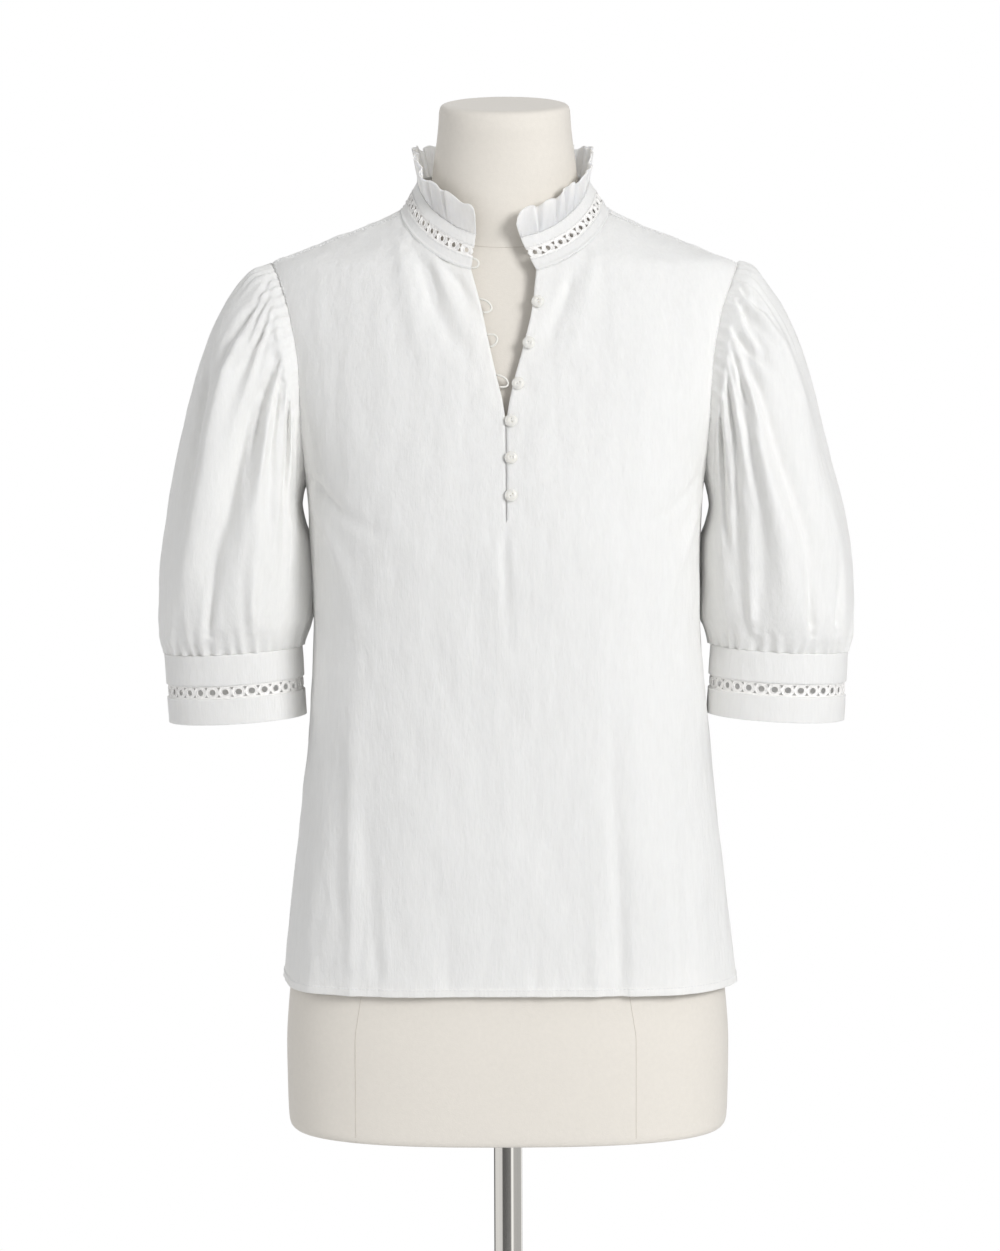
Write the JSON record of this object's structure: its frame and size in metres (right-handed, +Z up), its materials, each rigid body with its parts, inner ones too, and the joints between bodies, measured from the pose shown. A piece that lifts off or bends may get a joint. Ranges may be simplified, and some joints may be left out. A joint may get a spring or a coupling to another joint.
{
  "type": "ruffle collar top on dress form stand",
  "caption": "White cotton blouse with a ruffled stand collar, button slit, lace bands and gathered elbow sleeves, worn on a limbless dress form on a pole with a round base.",
  "frame": {"origin": "on the ground, at the middle of the round base", "axes": "+Z up along the pole; the garment's front faces -Y; the wearer's left sleeve is at +X"},
  "size_m": [0.5473, 0.38, 1.4435],
  "materials": {
    "cloth": "fine crinkled white cotton voile, matte",
    "band": "doubled white cotton, stitched near its edges",
    "lace": "white cotton lace insertion with round holes",
    "button": "small pearly domed buttons",
    "thread": "thin pale twisted thread",
    "form": "ivory cloth stretched over the form, with fine seams",
    "pole": "bright drawn steel tube",
    "base": "plain pale satin paint"
  },
  "bodies": {
    "root": {"back": "cloth", "base": "base", "button_1": "button", "button_2": "button", "button_3": "button", "button_4": "button", "button_5": "button", "button_6": "button", "collar_lace": "lace", "collar_lower": "band", "collar_ruffle": "cloth", "collar_upper": "band", "cuff_left_lace_back": "lace", "cuff_left_lace_front": "lace", "cuff_left_lower": "band", "cuff_left_upper": "band", "cuff_right_lace_back": "lace", "cuff_right_lace_front": "lace", "cuff_right_lower": "band", "cuff_right_upper": "band", "dress_form": "form", "front": "cloth", "loop_1": "thread", "loop_2": "thread", "loop_3": "thread", "loop_4": "thread", "loop_5": "thread", "loop_6": "thread", "loop_collar": "thread", "pole": "pole", "sleeve_left": "cloth", "sleeve_right": "cloth"}
  },
  "joints": []
}
